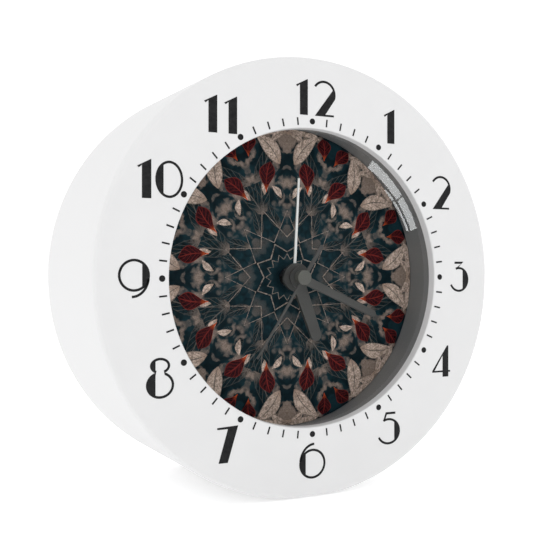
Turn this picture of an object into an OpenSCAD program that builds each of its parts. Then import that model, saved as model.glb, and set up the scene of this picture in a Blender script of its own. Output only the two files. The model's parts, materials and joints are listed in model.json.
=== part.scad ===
// Round desk alarm clock with a deep dial, four hands and a battery quartz movement.
// The clock stands on a flat base. +Z is up, the face looks along -Y and the origin is
// at the bottom centre. Parts are drawn in a face frame and then placed: X to the right,
// Y down and Z as depth behind the face, so a positive turn about Z is clockwise.

/* [Housing] */
// Diameter of the round front face
face_d = 110; // [110:1:114]
// Depth of the housing from the face to its back rim
housing_depth = 46.5; // [46.5:0.5:50]
// Angle by which the side opens towards the back
draft_angle = 2; // [1:0.5:2.5]
// Thickness of the side wall
wall_t = 2.2; // [1.8:0.1:2.6]
// Thickness of the face
face_t = 2.5; // [2.2:0.1:2.6]
// Diameter of the opening in the face
opening_d = 74.6; // [74:0.2:75]
// Height of the slice cut off under the housing so that it stands
base_cut = 0.8; // [0.6:0.1:1]
// Height of the foot strips below the base
pad_proud = 0.6; // [0.4:0.1:1]
// Depth of the back cover inside the housing's rim
cover_inset = 4; // [3.5:0.1:4]

/* [Dial] */
// Depth of the dial behind the face
dial_depth = 14.2; // [14:0.1:14.6]
// Thickness of the clear lens
lens_t = 1; // [0.8:0.1:1.1]
// Thickness of the printed card
card_t = 0.4; // [0.3:0.1:0.5]
// Thickness of the wall round the dial
cup_wall = 1.2; // [1:0.1:1.2]
// Thickness of the plate behind the card
cup_floor = 1.6; // [1.5:0.1:1.8]
// Height of the rim and hub behind that plate, which carry the movement
seat_h = 2.1; // [2:0.1:2.3]

/* [Hands] */
// Hour hand, degrees clockwise from twelve
hour_at = 159.5; // [0:0.5:360]
// Minute hand, degrees clockwise from twelve
minute_at = 114; // [0:0.5:360]
// Second hand, degrees clockwise from twelve
second_at = 213; // [0:0.5:360]
// Alarm hand, degrees clockwise from twelve
alarm_at = 3; // [0:0.5:360]
// Length of the hour hand
hour_len = 17.7; // [15:0.1:20]
// Length of the minute hand
minute_len = 25; // [22:0.1:30]
// Length of the second hand
second_len = 24; // [22:0.1:30]
// Length of the second hand's tail
second_tail = 9.9; // [6:0.1:12]
// Length of the alarm hand
alarm_len = 26; // [22:0.1:30]

/* [Movement] */
// Width of the movement
movement_w = 56; // [56:0.5:57]
// Diameter of the AA cell
cell_d = 14.5; // [14.2:0.1:14.5]
// Length of the AA cell
cell_len = 50.5; // [49.5:0.1:50.5]
// Diameter of the setting knobs
knob_d = 10; // [8:0.5:10.5]

/* [Hidden] */
$fn = 64;
cut = 1;            // how far a cutting shape runs past what it cuts
fit = 0.05;         // radial clearance of a shaft in its hole
slack = 0.15;       // gap round a fixed part that drops into a seat

// Housing
face_r = face_d / 2;
open_r = opening_d / 2;
base_y = face_r - base_cut;
centre_h = base_y + pad_proud;
rim_r = 1;          // rounding of the housing's front edge
mouth_r = 0.4;      // rounding of the opening's edge
collar_r = open_r + 3.6;
collar_t = 1.5;
cover_t = 2;
cover_z = housing_depth - cover_inset - cover_t;
cover_r = face_r + cover_z * tan(draft_angle) - wall_t - 0.4;
boss_dist = face_r - 8;
boss_r = 3.2;
cover_screw_r = 1.25;
cover_screws_at = [for (a = [45, 135, 225, 315]) clock_point(boss_dist, a)];
ear_dist = collar_r + 5;
ear_r = 2.5;
ear_neck = 1.9;     // half the width of an ear's neck
ear_screw_r = 0.85;
ear_angles = [0, 120, 240];
ears_at = [for (a = ear_angles) clock_point(ear_dist, a)];
strip_w = 3.5;
strip_x = 6.2;
strip_margin = 3.5;
strip_seat = 0.5;

// Dial
cup_r = collar_r - slack;
cup_z = face_t + lens_t;
floor_z = dial_depth + card_t;
cup_back = floor_z + cup_floor;
case_z = cup_back + seat_h;
seat_rim = 4.5;
seat_hub_r = 8;

// Movement case
plate_t = 1.5;
case_wall = 1.5;
case_half = movement_w / 2;
case_top = -27;
case_bottom = 30;
train_z = case_z + plate_t;
rear_z = case_z + 17.7;
bush_r = 3;
bush_proud = 1.4;
cell_y = 21;
cell_z = rear_z - cell_d / 2 - 0.75;
bay_top = cell_y - cell_d / 2 - 0.25;
bay_bottom = cell_y + cell_d / 2 + 0.25;
bay_wall = 1.3;
post_r = 2.2;
post_x = case_half - 4;
post_ys = [case_top + 3.5, bay_top - 4.6];
posts_at = [for (x = [-post_x, post_x]) for (y = post_ys) [x, y]];
lug_x = case_half + 3;
lugs_at = [[-lug_x, 0], [lug_x, 0]];
lug_r = 2.5;
lug_z = case_z + 2;
lug_t = 1.2;
bridge_t = 0.8;

// Arbors and pipes, nested on the centre line
second_r = 0.45;
minute_r = 0.95;
hour_r = 1.45;
alarm_r = 2;
third_r = 0.5;
step_r = 0.5;
rotor_r = 0.4;
motion_r = 0.8;
alarm_set_r = 1;
pivot_depth = 0.8;

// Depth of each layer of wheels
wheel_t = 1;
thin_wheel_t = 0.8;
layer_gap = 0.6;
alarm_layer = train_z + 0.5;
hour_layer = alarm_layer + wheel_t + layer_gap;
motion_layer = hour_layer + wheel_t + layer_gap;
centre_layer = motion_layer + wheel_t + layer_gap;
third_layer = centre_layer + wheel_t + layer_gap;
bridge_z = third_layer + wheel_t + 0.5;
second_layer = bridge_z + bridge_t + 0.5;
step_layer = second_layer + thin_wheel_t + layer_gap;
magnet_z = step_layer + thin_wheel_t + layer_gap;

// Teeth: involute flanks with a little backlash
pressure = 25;
addendum = 0.75;
dedendum = 1;
backlash = 0.09;
pinion_teeth = 10;
third_teeth = 75;
centre_teeth = 80;
second_teeth = 60;
step_teeth = 50;
cannon_teeth = 12;
motion_teeth = 36;
motion_pinion_teeth = 12;
hour_teeth = 48;
alarm_teeth = 44;
alarm_set_teeth = 22;
fine_mod = 0.3;
cannon_mod = 0.55;
alarm_mod = 0.5;
third_dist = fine_mod * (pinion_teeth + third_teeth) / 2;
centre_mod = 2 * third_dist / (pinion_teeth + centre_teeth);
step_dist = fine_mod * (pinion_teeth + second_teeth) / 2;
rotor_dist = fine_mod * (pinion_teeth + step_teeth) / 2;
motion_dist = cannon_mod * (cannon_teeth + motion_teeth) / 2;
hour_mod = 2 * motion_dist / (motion_pinion_teeth + hour_teeth);
alarm_dist = alarm_mod * (alarm_teeth + alarm_set_teeth) / 2;

// Directions of the arbors from the centre, degrees clockwise from twelve
third_dir = -60;
step_dir = -30;
rotor_dir = -90;    // from the step wheel
motion_dir = 60;
alarm_set_dir = 105;
third_at = clock_point(third_dist, third_dir);
step_at = clock_point(step_dist, step_dir);
rotor_at = step_at + clock_point(rotor_dist, rotor_dir);
motion_at = clock_point(motion_dist, motion_dir);
alarm_set_at = clock_point(alarm_dist, alarm_set_dir);

// Depth of the front of each hand
second_hand_z = 4.3;
second_hand_t = 0.3;
minute_hand_z = 6.6;
minute_hand_t = 0.6;
hour_hand_z = 8.3;
hour_hand_t = 1;
alarm_hand_z = 9.8;
alarm_hand_t = 0.4;
cap_z = 4.05;
cap_r = 1.9;
cap_h = 2;

// Motor and electronics
magnet_r = 2.2;
magnet_h = 2.5;
stator_z = magnet_z + 0.7;
stator_t = 0.8;
stator_hole_r = magnet_r + 0.5;
stator_left = rotor_at[0] - 6.75;
stator_right = step_at[0] + 5.25;
stator_arm = 3;
coil_y = case_top + 6.5;
coil_z = stator_z + stator_t;
core_t = 0.6;
core_w = 2;
coil_r = 1.8;
board_z = stator_z + 0.4;
board_t = 1;
board_left = 3;
board_w = 18;
board_top = case_top + 2;
board_h = 14;
leaf_t = 0.3;
leaf_w = 3;
leaf_x = 4;

// Back of the clock
knob_gap = 0.5;
knob_z = cover_z + cover_t + knob_gap;
knob_h = housing_depth - knob_z - 0.2;
knob_hub_r = 2.2;
knob_bite = 1.5;    // how far an arbor reaches into its knob
knob_grooves = 24;
switch_at = [-16, -8];
switch_travel = 4;
switch_stem = [4, 2];
switch_cap = [5.5, 4];
switch_body = [14, 6];
buzzer_at = [-40.5, 2];
buzzer_r = 9;
buzzer_h = 4;
door_w = 55;
door_h = 17;
door_gap = 0.3;

// A point at a distance from the centre, in a direction clockwise from twelve
function clock_point(dist, dir) = [dist * sin(dir), -dist * cos(dir)];

// Points of an arc
function arc(centre, r, from, to, steps) =
    [for (i = [0:steps]) let (a = from + (to - from) * i / steps) centre + r * [cos(a), sin(a)]];

// Radius of the housing's side at a depth
function side_r(z) = face_r + z * tan(draft_angle);

// Half the angle that a gear tooth fills at radius r
function involute(base, r) = let (a = acos(min(1, base / r))) tan(a) * 180 / PI - a;
function tooth_half(teeth, mod, r) =
    let (pitch = mod * teeth / 2, base = pitch * cos(pressure))
    90 / teeth - backlash / (2 * pitch) * 90 / PI
    + involute(base, pitch) - involute(base, max(r, base));

// Moves parts from the face frame to the clock's frame
module place() {
    translate([0, -housing_depth / 2, centre_h]) rotate([-90, 0, 0]) children();
}

// Keeps what lies above a height in the face frame
module above(y) {
    intersection() {
        children();
        translate([-face_d, -face_d, -cut]) cube([2 * face_d, face_d + y, housing_depth + 2 * cut]);
    }
}

module at(point, z = 0) {
    translate([point[0], point[1], z]) children();
}

module at_each(points, z = 0) {
    for (p = points) at(p, z) children();
}

module disc(r, z, h) {
    translate([0, 0, z]) cylinder(r = r, h = h);
}

// What is cut away for a hole through a plate
module bore(r, z, h) {
    disc(r, z - cut, h + 2 * cut);
}

module tube(outer, inner, z, h) {
    difference() {
        disc(outer, z, h);
        bore(inner, z, h);
    }
}

module block(low, high) {
    translate(low) cube(high - low);
}

// A bar with round ends along X, centred
module stadium(length, width, h) {
    half = (length - width) / 2;
    for (x = [-half, half]) translate([x, 0, 0]) cylinder(d = width, h = h);
    translate([-half, -width / 2, 0]) cube([2 * half, width, h]);
}

// Gear with one tooth pointing along the heading, in degrees from +X
module gear(teeth, mod, z, h, heading = 0) {
    pitch = mod * teeth / 2;
    tip = pitch + addendum * mod;
    root = pitch - dedendum * mod;
    foot = max(root, pitch * cos(pressure));
    radii = [foot, (foot + tip) / 2, tip];
    flank = [for (r = radii) [r, tooth_half(teeth, mod, r)]];
    left = [for (p = flank) [p[0], -p[1]]];
    right = [for (i = [len(flank) - 1:-1:0]) flank[i]];
    tooth = concat([[root, -flank[0][1]]], left, right, [[root, flank[0][1]]]);
    points = [for (i = [0:teeth - 1]) for (p = tooth)
        let (a = heading + i * 360 / teeth + p[1]) [p[0] * cos(a), p[0] * sin(a)]];
    translate([0, 0, z]) linear_extrude(h) polygon(points);
}

// Heading of a clock direction, and of the tooth gap that faces back along it
function heading(dir) = dir - 90;
function gap_heading(dir, teeth) = dir + 90 + 180 / teeth;

// Screw with a pan head and a cross slot, its head at z and its shank towards the face
module screw(shank_r, shank, head_r, head_h, z) {
    slot_w = head_r * 0.3;
    difference() {
        union() {
            disc(shank_r, z - shank, shank + 0.1);
            translate([0, 0, z]) cylinder(r1 = head_r, r2 = head_r * 0.85, h = head_h);
        }
        for (a = [0, 90]) rotate([0, 0, a]) translate([-head_r * 0.6, -slot_w / 2, z + head_h / 2])
            cube([head_r * 1.2, slot_w, head_h]);
    }
}

// Outer shape of the housing, filled
module housing_solid() {
    profile = concat(
        [[0, 0]],
        arc([face_r - rim_r, rim_r], rim_r, -90, -draft_angle, 8),
        [[side_r(housing_depth), housing_depth], [0, housing_depth]]
    );
    above(base_y) rotate_extrude($fn = 180) polygon(profile);
}

module housing_hollow() {
    profile = [
        [0, face_t], [side_r(face_t) - wall_t, face_t],
        [side_r(housing_depth + cut) - wall_t, housing_depth + cut], [0, housing_depth + cut]
    ];
    above(base_y - wall_t) rotate_extrude($fn = 180) polygon(profile);
}

module face_mouth() {
    profile = concat(
        [[0, -cut], [open_r + mouth_r, -cut]],
        arc([open_r + mouth_r, mouth_r], mouth_r, -90, -180, 5),
        [[open_r, face_t + cut], [0, face_t + cut]]
    );
    rotate_extrude($fn = 180) polygon(profile);
}

module strip_seats(gap, low, high) {
    for (x = [-strip_x, strip_x])
        translate([x, low, housing_depth / 2]) rotate([-90, 0, 0]) rotate([0, 0, 90])
            stadium(housing_depth - 2 * strip_margin + 2 * gap, strip_w + 2 * gap, high - low);
}

module front_housing() {
    color("whitesmoke") place() difference() {
        union() {
            difference() {
                housing_solid();
                housing_hollow();
            }
            tube(collar_r + collar_t, collar_r, face_t - 0.5, dial_depth - face_t - 1);
            at_each(cover_screws_at) disc(boss_r, face_t - 0.5, cover_z - face_t + 0.5);
            at_each(ears_at) disc(ear_r, face_t - 0.5, floor_z - face_t + 0.5);
        }
        face_mouth();
        at_each(cover_screws_at) disc(cover_screw_r + fit, cover_z - 12, 12 + cut);
        at_each(ears_at) disc(ear_screw_r + fit, floor_z - 6, 6 + cut);
        strip_seats(slack, base_y - strip_seat, base_y + cut);
    }
}

module foot_strips() {
    color("dimgray") place() strip_seats(0, base_y - strip_seat, base_y + pad_proud);
}

module lens() {
    color("lightcyan", 0.3) place() disc(cup_r, face_t, lens_t, $fn = 120);
}

// Dark wall round the dial, with the plate behind the card and three ears for its screws
module dial_cup() {
    color("dimgray") place() difference() {
        union() {
            difference() {
                disc(cup_r, cup_z, case_z - cup_z, $fn = 120);
                tube(cup_r - seat_rim, seat_hub_r, cup_back, seat_h + cut, $fn = 120);
            }
            at_each(ears_at) disc(ear_r, floor_z, cup_floor);
            for (a = ear_angles) rotate([0, 0, a - 90])
                block([collar_r - 3, -ear_neck, floor_z], [ear_dist, ear_neck, cup_back]);
            at_each(lugs_at) disc(lug_r, cup_back - 0.1, lug_z - cup_back + 0.1);
        }
        disc(cup_r - cup_wall, cup_z - cut, floor_z - cup_z + cut, $fn = 120);
        bore(bush_r + 0.2, floor_z, case_z - floor_z);
        at_each(ears_at) bore(ear_screw_r + slack, floor_z, cup_floor);
        at_each(lugs_at) disc(ear_screw_r + fit, lug_z - 3.2, 3.2 + cut);
    }
}

module dial_card() {
    color("darkslategray") place()
        tube(cup_r - cup_wall - slack, alarm_r + 0.3, dial_depth, card_t, $fn = 120);
}

module dial_cup_screws() {
    color("silver") place() at_each(ears_at)
        screw(ear_screw_r, 5.5, 2, 1.2, cup_back);
}

// Back cover with its screw wells, battery well, sound slots and holes for the controls
module back_cover() {
    color("gainsboro") place() difference() {
        union() {
            above(base_y - wall_t - 0.4) disc(cover_r, cover_z, cover_t, $fn = 180);
            battery_frame(door_w + 3, door_h + 3, rear_z + plate_t + 0.2, cover_z + 0.1);
        }
        battery_frame(door_w, door_h, rear_z, housing_depth);
        at_each(cover_screws_at) {
            bore(cover_screw_r + 0.3, cover_z, cover_t);
            disc(3.1, cover_z + 0.8, cover_t);
        }
        at_each([motion_at, alarm_set_at]) bore(knob_hub_r + 0.4, cover_z, cover_t);
        at(switch_at, cover_z - cut) switch_slot(cover_t + 2 * cut);
        for (i = [-2:2]) at(buzzer_at + [0, 2.6 * i], cover_z - cut)
            stadium(10 - 1.6 * abs(i), 1.2, cover_t + 2 * cut);
    }
}

// A block over the cell, centred on it
module battery_frame(width, height, low, high) {
    block([-width / 2, cell_y - height / 2, low], [width / 2, cell_y + height / 2, high]);
}

// The hole in which the alarm switch's stem travels
module switch_slot(h) {
    stadium(switch_stem[0] + switch_travel + 1, switch_stem[1] + 0.6, h);
}

module back_cover_screws() {
    color("silver") place() at_each(cover_screws_at)
        screw(cover_screw_r, 11, 2.7, 1.1, cover_z + 0.8);
}

// Door over the cell, with raised grip ribs at its upper edge
module battery_door() {
    outer = cover_z + cover_t;
    color("gainsboro") place() {
        battery_frame(door_w - 2 * door_gap, door_h - 2 * door_gap, cover_z, outer);
        for (i = [0:3]) translate([0, cell_y - 5.2 + 1.6 * i, outer - 0.1]) stadium(14, 0.8, 0.6);
    }
}

// Box that holds the wheels and the cell, open at the back
module movement_front_case() {
    inner = case_half - case_wall;
    color("ivory") place() difference() {
        union() {
            difference() {
                block([-case_half, case_top, case_z], [case_half, case_bottom, rear_z]);
                block([-inner, case_top + case_wall, train_z],
                    [inner, bay_top - bay_wall, rear_z + cut]);
                block([-inner, bay_top, train_z], [inner, bay_bottom, rear_z + cut]);
            }
            disc(bush_r, case_z - bush_proud, bush_proud + plate_t);
            at_each(posts_at) disc(post_r, train_z - 0.1, rear_z - train_z + 0.1);
            for (s = [-1, 1]) {
                at([s * lug_x, 0]) disc(lug_r, lug_z, lug_t);
                at([s * (case_half + lug_x) / 2, 0])
                    block([-2, -lug_r, lug_z], [2, lug_r, lug_z + lug_t]);
            }
        }
        bore(alarm_r + fit, case_z - bush_proud, bush_proud + plate_t);
        at(third_at) disc(third_r + fit, train_z - pivot_depth, pivot_depth + cut);
        at(motion_at) disc(motion_r + fit, train_z - pivot_depth, pivot_depth + cut);
        at(alarm_set_at) disc(alarm_set_r + fit, train_z - pivot_depth, pivot_depth + cut);
        at_each(posts_at) disc(ear_screw_r + fit, rear_z - 8, 8 + cut);
        at_each(lugs_at) bore(ear_screw_r + slack, lug_z, lug_t);
    }
}

module movement_rear_case() {
    inner = case_half - case_wall;
    color("ivory") place() difference() {
        union() {
            block([-case_half, case_top, rear_z], [case_half, case_bottom, rear_z + plate_t]);
            for (x = [board_left + 3, board_left + board_w - 3]) at([x, board_top + 3])
                disc(1, board_z + board_t, rear_z - board_z - board_t + 0.1);
        }
        block([-inner, bay_top, rear_z - cut], [inner, bay_bottom, rear_z + plate_t + cut]);
        disc(second_r + fit, rear_z - cut, pivot_depth + cut);
        at(step_at) disc(step_r + fit, rear_z - cut, pivot_depth + cut);
        at(rotor_at) disc(rotor_r + fit, rear_z - cut, pivot_depth + cut);
        at(motion_at) bore(motion_r + fit, rear_z, plate_t);
        at(alarm_set_at) bore(alarm_set_r + fit, rear_z, plate_t);
        at_each(posts_at) bore(ear_screw_r + slack, rear_z, plate_t);
    }
}

module movement_case_screws() {
    color("silver") place() at_each(posts_at)
        screw(ear_screw_r, 7, 1.8, 1, rear_z + plate_t);
}

module movement_lug_screws() {
    color("silver") place() at_each(lugs_at)
        screw(ear_screw_r, 4, 1.8, 1, lug_z + lug_t);
}

// Plate between the hand wheels and the motor wheels, with their inner bearings
module train_bridge() {
    gap = 0.3;
    inner = case_half - case_wall - gap;
    narrow = post_x - post_r - gap;
    color("lightgray") place() difference() {
        union() {
            block([-narrow, case_top + case_wall + 1, bridge_z],
                [narrow, bay_top - bay_wall - gap, bridge_z + bridge_t]);
            block([-inner, post_ys[0] + post_r + gap, bridge_z],
                [inner, post_ys[1] - post_r - gap, bridge_z + bridge_t]);
        }
        bore(second_r + fit, bridge_z, bridge_t);
        at(third_at) bore(third_r + fit, bridge_z, bridge_t);
        at(step_at) bore(step_r + fit, bridge_z, bridge_t);
        at(rotor_at) bore(rotor_r + fit, bridge_z, bridge_t);
        at(motion_at) bore(motion_r + fit, bridge_z, bridge_t);
        at(alarm_set_at) bore(alarm_set_r + fit, bridge_z, bridge_t);
    }
}

module alarm_drag_washer() {
    color("peru") place() tube(4.5, alarm_r + fit, train_z, 0.3);
}

// Iron yoke round the rotor, with an arm to each end of the coil
module stator() {
    bottom = rotor_at[1] + 3.5;
    top = rotor_at[1] - 3.5;
    high = stator_z + stator_t;
    color("darkgray") place() difference() {
        union() {
            block([stator_left, top, stator_z], [stator_right, bottom, high]);
            for (x = [stator_left, stator_right - stator_arm])
                block([x, coil_y - 1, stator_z], [x + stator_arm, top + 0.1, high]);
        }
        at(rotor_at) bore(stator_hole_r, stator_z, stator_t);
        at(step_at) bore(step_r + 0.7, stator_z, stator_t);
    }
}

module coil_core() {
    low = [stator_left, coil_y - core_w / 2, coil_z];
    color("darkgray") place() block(low, low + [stator_right - stator_left, core_w, core_t]);
}

// Tube along X round the coil's core
module along_core(outer, hollow_y, hollow_z, from, to) {
    translate([from, coil_y, coil_z + core_t / 2]) difference() {
        rotate([0, 90, 0]) cylinder(r = outer, h = to - from);
        block([-cut, -hollow_y / 2, -hollow_z / 2], [to - from + cut, hollow_y / 2, hollow_z / 2]);
    }
}

module coil_bobbin() {
    left = stator_left + stator_arm + 0.1;
    right = stator_right - stator_arm - 0.1;
    color("white") place() {
        along_core(1.35, core_w + 0.1, core_t + 0.1, left, right);
        for (x = [left, right - 0.6]) along_core(coil_r, core_w + 0.1, core_t + 0.1, x, x + 0.6);
    }
}

module coil_winding() {
    left = stator_left + stator_arm + 0.75;
    right = stator_right - stator_arm - 0.75;
    color("orangered") place() translate([left, coil_y, coil_z + core_t / 2]) rotate([0, 90, 0])
        tube(coil_r - 0.05, 1.4, 0, right - left);
}

module circuit_board() {
    low = [board_left, board_top, board_z];
    color("darkgreen") place() block(low, low + [board_w, board_h, board_t]);
}

module chip_cover() {
    height = 0.9;
    color("black") place() at([board_left + 12, board_top + 5], board_z - height)
        cylinder(r1 = 1.8, r2 = 2.6, h = height);
}

module quartz_crystal() {
    color("silver") place() at([board_left + 3, board_top + 11], board_z - 1.1)
        rotate([0, 90, 0]) cylinder(r = 1, h = 6);
}

// Thin spring that closes the alarm circuit, from the board down to the hour wheel
module alarm_contact_spring() {
    back = case_top + case_wall + 0.2;
    color("gold") place() {
        block([leaf_x, back, hour_layer + 0.3], [leaf_x + leaf_w, -12, hour_layer + 0.3 + leaf_t]);
        block([leaf_x, back, hour_layer + 0.3], [leaf_x + leaf_w, back + leaf_t, board_z]);
    }
}

module battery() {
    nub = 1.2;
    half = cell_len / 2;
    color("goldenrod") place() translate([0, cell_y, cell_z]) rotate([0, 90, 0]) {
        translate([0, 0, -half]) cylinder(d = cell_d, h = cell_len - nub);
        translate([0, 0, half - nub - 0.1]) cylinder(r = 2.7, h = nub + 0.1);
    }
}

module battery_contact_plus() {
    x = case_half - case_wall;
    color("silver") place() {
        block([x - 0.5, cell_y - 5, cell_z - 6], [x - 0.1, cell_y + 5, cell_z + 6]);
    }
}

// Bent strip that presses on the flat end of the cell
module battery_contact_minus() {
    x = -case_half + case_wall;
    bow = arc([x - 5.6, cell_y], 6.7, -50, 50, 8);
    inner = arc([x - 5.6, cell_y], 6.4, 50, -50, 8);
    color("silver") place() intersection() {
        translate([0, 0, cell_z - 4]) linear_extrude(8) polygon(concat(bow, inner));
        block([x + 0.05, cell_y - 8, cell_z - 5], [x + 2, cell_y + 8, cell_z + 5]);
    }
}

module buzzer_case() {
    color("black") place() at(buzzer_at) difference() {
        disc(buzzer_r, cover_z - buzzer_h, buzzer_h);
        disc(buzzer_r - 1, cover_z - buzzer_h + 1, buzzer_h);
    }
}

module buzzer_disc() {
    color("gold") place() at(buzzer_at) disc(buzzer_r - 1.2, cover_z - buzzer_h + 1, 0.4);
}

module alarm_switch_body() {
    low = cover_z - 2.6;
    half = switch_body / 2;
    color("black") place() at(switch_at) difference() {
        block([-half[0], -half[1], low], [half[0], half[1], cover_z]);
        translate([0, 0, low + 1]) switch_slot(3);
    }
}

// Slider of the alarm switch, at the off end of its slot
module alarm_switch_slider() {
    low = cover_z - 1.3;
    top = cover_z + cover_t;
    color("darkgray") place() at(switch_at - [switch_travel / 2, 0]) {
        translate([0, 0, low]) stadium(switch_stem[0], switch_stem[1], top + 0.5 - low);
        translate([0, 0, top + 0.3]) stadium(switch_cap[0], switch_cap[1], 1);
        for (x = [-0.9, 0, 0.9]) block([x - 0.2, -1.3, top + 1.2], [x + 0.2, 1.3, top + 1.6]);
    }
}

// Wheel that turns once a minute, with its long arbor
module second_wheel() {
    color("white") place() {
        disc(second_r, second_hand_z, rear_z + pivot_depth - 0.1 - second_hand_z);
        gear(second_teeth, fine_mod, second_layer, thin_wheel_t, heading(step_dir));
        gear(pinion_teeth, fine_mod, third_layer, wheel_t,
            gap_heading(third_dir - 180, pinion_teeth));
    }
}

module third_wheel() {
    low = train_z - pivot_depth + 0.1;
    color("ivory") place() at(third_at) {
        disc(third_r, low, bridge_z + bridge_t - 0.1 - low);
        gear(third_teeth, fine_mod, third_layer, wheel_t, heading(third_dir + 180));
        gear(pinion_teeth, centre_mod, centre_layer, third_layer - centre_layer + 0.1,
            gap_heading(third_dir, pinion_teeth));
    }
}

// Wheel driven by the train, held on the minute pipe by friction alone
module centre_wheel() {
    color("white") place() difference() {
        gear(centre_teeth, centre_mod, centre_layer, wheel_t, heading(third_dir));
        bore(minute_r + fit, centre_layer, wheel_t);
    }
}

module step_wheel() {
    color("ivory") place() at(step_at) {
        disc(step_r, bridge_z + 0.1, rear_z + pivot_depth - bridge_z - 0.2);
        gear(step_teeth, fine_mod, step_layer, thin_wheel_t, heading(rotor_dir));
        gear(pinion_teeth, fine_mod, second_layer, step_layer - second_layer + 0.1,
            gap_heading(step_dir, pinion_teeth));
    }
}

module rotor_pinion() {
    color("red") place() at(rotor_at) {
        disc(rotor_r, bridge_z + 0.1, rear_z + pivot_depth - bridge_z - 0.2);
        gear(pinion_teeth, fine_mod, step_layer, magnet_z - step_layer,
            gap_heading(rotor_dir, pinion_teeth));
    }
}

module rotor_magnet() {
    color("dimgray") place() at(rotor_at) tube(magnet_r, rotor_r, magnet_z, magnet_h);
}

// Pipe of the minute hand with the pinion that drives the motion work
module minute_pipe() {
    tip = minute_hand_z - 0.2;
    tail = third_layer - 0.3;
    color("white") place() difference() {
        union() {
            disc(minute_r, tip, tail - tip);
            gear(cannon_teeth, cannon_mod, motion_layer, wheel_t, heading(motion_dir));
        }
        bore(second_r + fit, tip, tail - tip);
    }
}

module hour_wheel() {
    tip = hour_hand_z - 0.2;
    color("ivory") place() difference() {
        union() {
            disc(hour_r, tip, hour_layer + wheel_t - tip);
            gear(hour_teeth, hour_mod, hour_layer, wheel_t, heading(motion_dir));
        }
        disc(minute_r + fit, tip - cut, housing_depth);
    }
}

module alarm_wheel() {
    tip = alarm_hand_z - 0.2;
    color("dimgray") place() difference() {
        union() {
            disc(alarm_r, tip, alarm_layer + wheel_t - tip);
            gear(alarm_teeth, alarm_mod, alarm_layer, wheel_t, heading(alarm_set_dir));
        }
        disc(hour_r + fit, tip - cut, housing_depth);
    }
}

// Arbor from the front case to its knob
module setting_arbor(r) {
    low = train_z - pivot_depth + 0.1;
    disc(r, low, knob_z + knob_bite - low);
}

// Wheel and pinion between the minute pipe and the hour wheel, on the setting knob's arbor
module motion_wheel() {
    color("white") place() at(motion_at) {
        setting_arbor(motion_r);
        gear(motion_teeth, cannon_mod, motion_layer, wheel_t,
            gap_heading(motion_dir, motion_teeth));
        gear(motion_pinion_teeth, hour_mod, hour_layer, motion_layer - hour_layer + 0.1,
            gap_heading(motion_dir, motion_pinion_teeth));
    }
}

module alarm_set_gear() {
    color("white") place() at(alarm_set_at) {
        setting_arbor(alarm_set_r);
        gear(alarm_set_teeth, alarm_mod, alarm_layer, wheel_t,
            gap_heading(alarm_set_dir, alarm_set_teeth));
    }
}

// Grooved knob with a hub that reaches through the back cover to its arbor
module knob(bore_r) {
    groove_r = 0.35;
    edge = 0.6;
    difference() {
        union() {
            disc(knob_d / 2, knob_z, knob_h - edge);
            translate([0, 0, knob_z + knob_h - edge])
                cylinder(r1 = knob_d / 2, r2 = knob_d / 2 - edge, h = edge);
            disc(knob_hub_r, cover_z - 1, knob_z - cover_z + 1.1);
        }
        disc(bore_r, cover_z - 2, knob_z + knob_bite - cover_z + 2);
        for (i = [0:knob_grooves - 1]) rotate([0, 0, i * 360 / knob_grooves])
            translate([knob_d / 2 + 0.05, 0, 0]) bore(groove_r, knob_z, knob_h, $fn = 16);
    }
}

module time_set_knob() {
    color("darkgray") place() at(motion_at) knob(motion_r);
}

module alarm_set_knob() {
    color("darkgray") place() at(alarm_set_at) knob(alarm_set_r);
}

// Blade along -Y with a hub, a bore and a round tip
module hand(length, hub_r, bore_r, root_w, tip_w, t) {
    tip = tip_w / 2;
    blade = [[-root_w / 2, 0], [root_w / 2, 0], [tip, -length + tip], [-tip, -length + tip]];
    difference() {
        union() {
            cylinder(r = hub_r, h = t);
            translate([0, -length + tip, 0]) cylinder(r = tip, h = t);
            linear_extrude(t) polygon(blade);
        }
        bore(bore_r, 0, t);
    }
}

module hour_hand() {
    color("dimgray") place() rotate([0, 0, hour_at]) translate([0, 0, hour_hand_z])
        hand(hour_len, 3.7, hour_r, 3.6, 3, hour_hand_t);
}

module minute_hand() {
    color("dimgray") place() rotate([0, 0, minute_at]) translate([0, 0, minute_hand_z])
        hand(minute_len, 2.8, minute_r, 2.4, 1.8, minute_hand_t);
}

module alarm_hand() {
    color("white") place() rotate([0, 0, alarm_at]) translate([0, 0, alarm_hand_z])
        hand(alarm_len, 2.9, alarm_r, 0.7, 0.5, alarm_hand_t);
}

module second_hand() {
    color("dimgray") place() rotate([0, 0, second_at]) translate([0, 0, second_hand_z]) {
        hand(second_len, 1.2, second_r, 0.8, 0.5, second_hand_t);
        difference() {
            translate([0, second_tail / 2, 0]) rotate([0, 0, 90])
                stadium(second_tail, 1, second_hand_t);
            bore(second_r, 0, second_hand_t);
        }
    }
}

// Small cap that presses the second hand onto its arbor
module second_hand_cap() {
    play = 0.05;
    slit = [0.55, cap_r + cut, 0];
    low = [0, 0, second_hand_z - play];
    high = low + [0, 0, second_hand_t + 2 * play];
    color("gray") place() difference() {
        disc(cap_r, cap_z, cap_h);
        disc(second_r, second_hand_z, cap_h);
        rotate([0, 0, second_at]) block(low - slit, high + slit);
        disc(1.25, low[2], high[2] - low[2]);
    }
}

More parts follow.
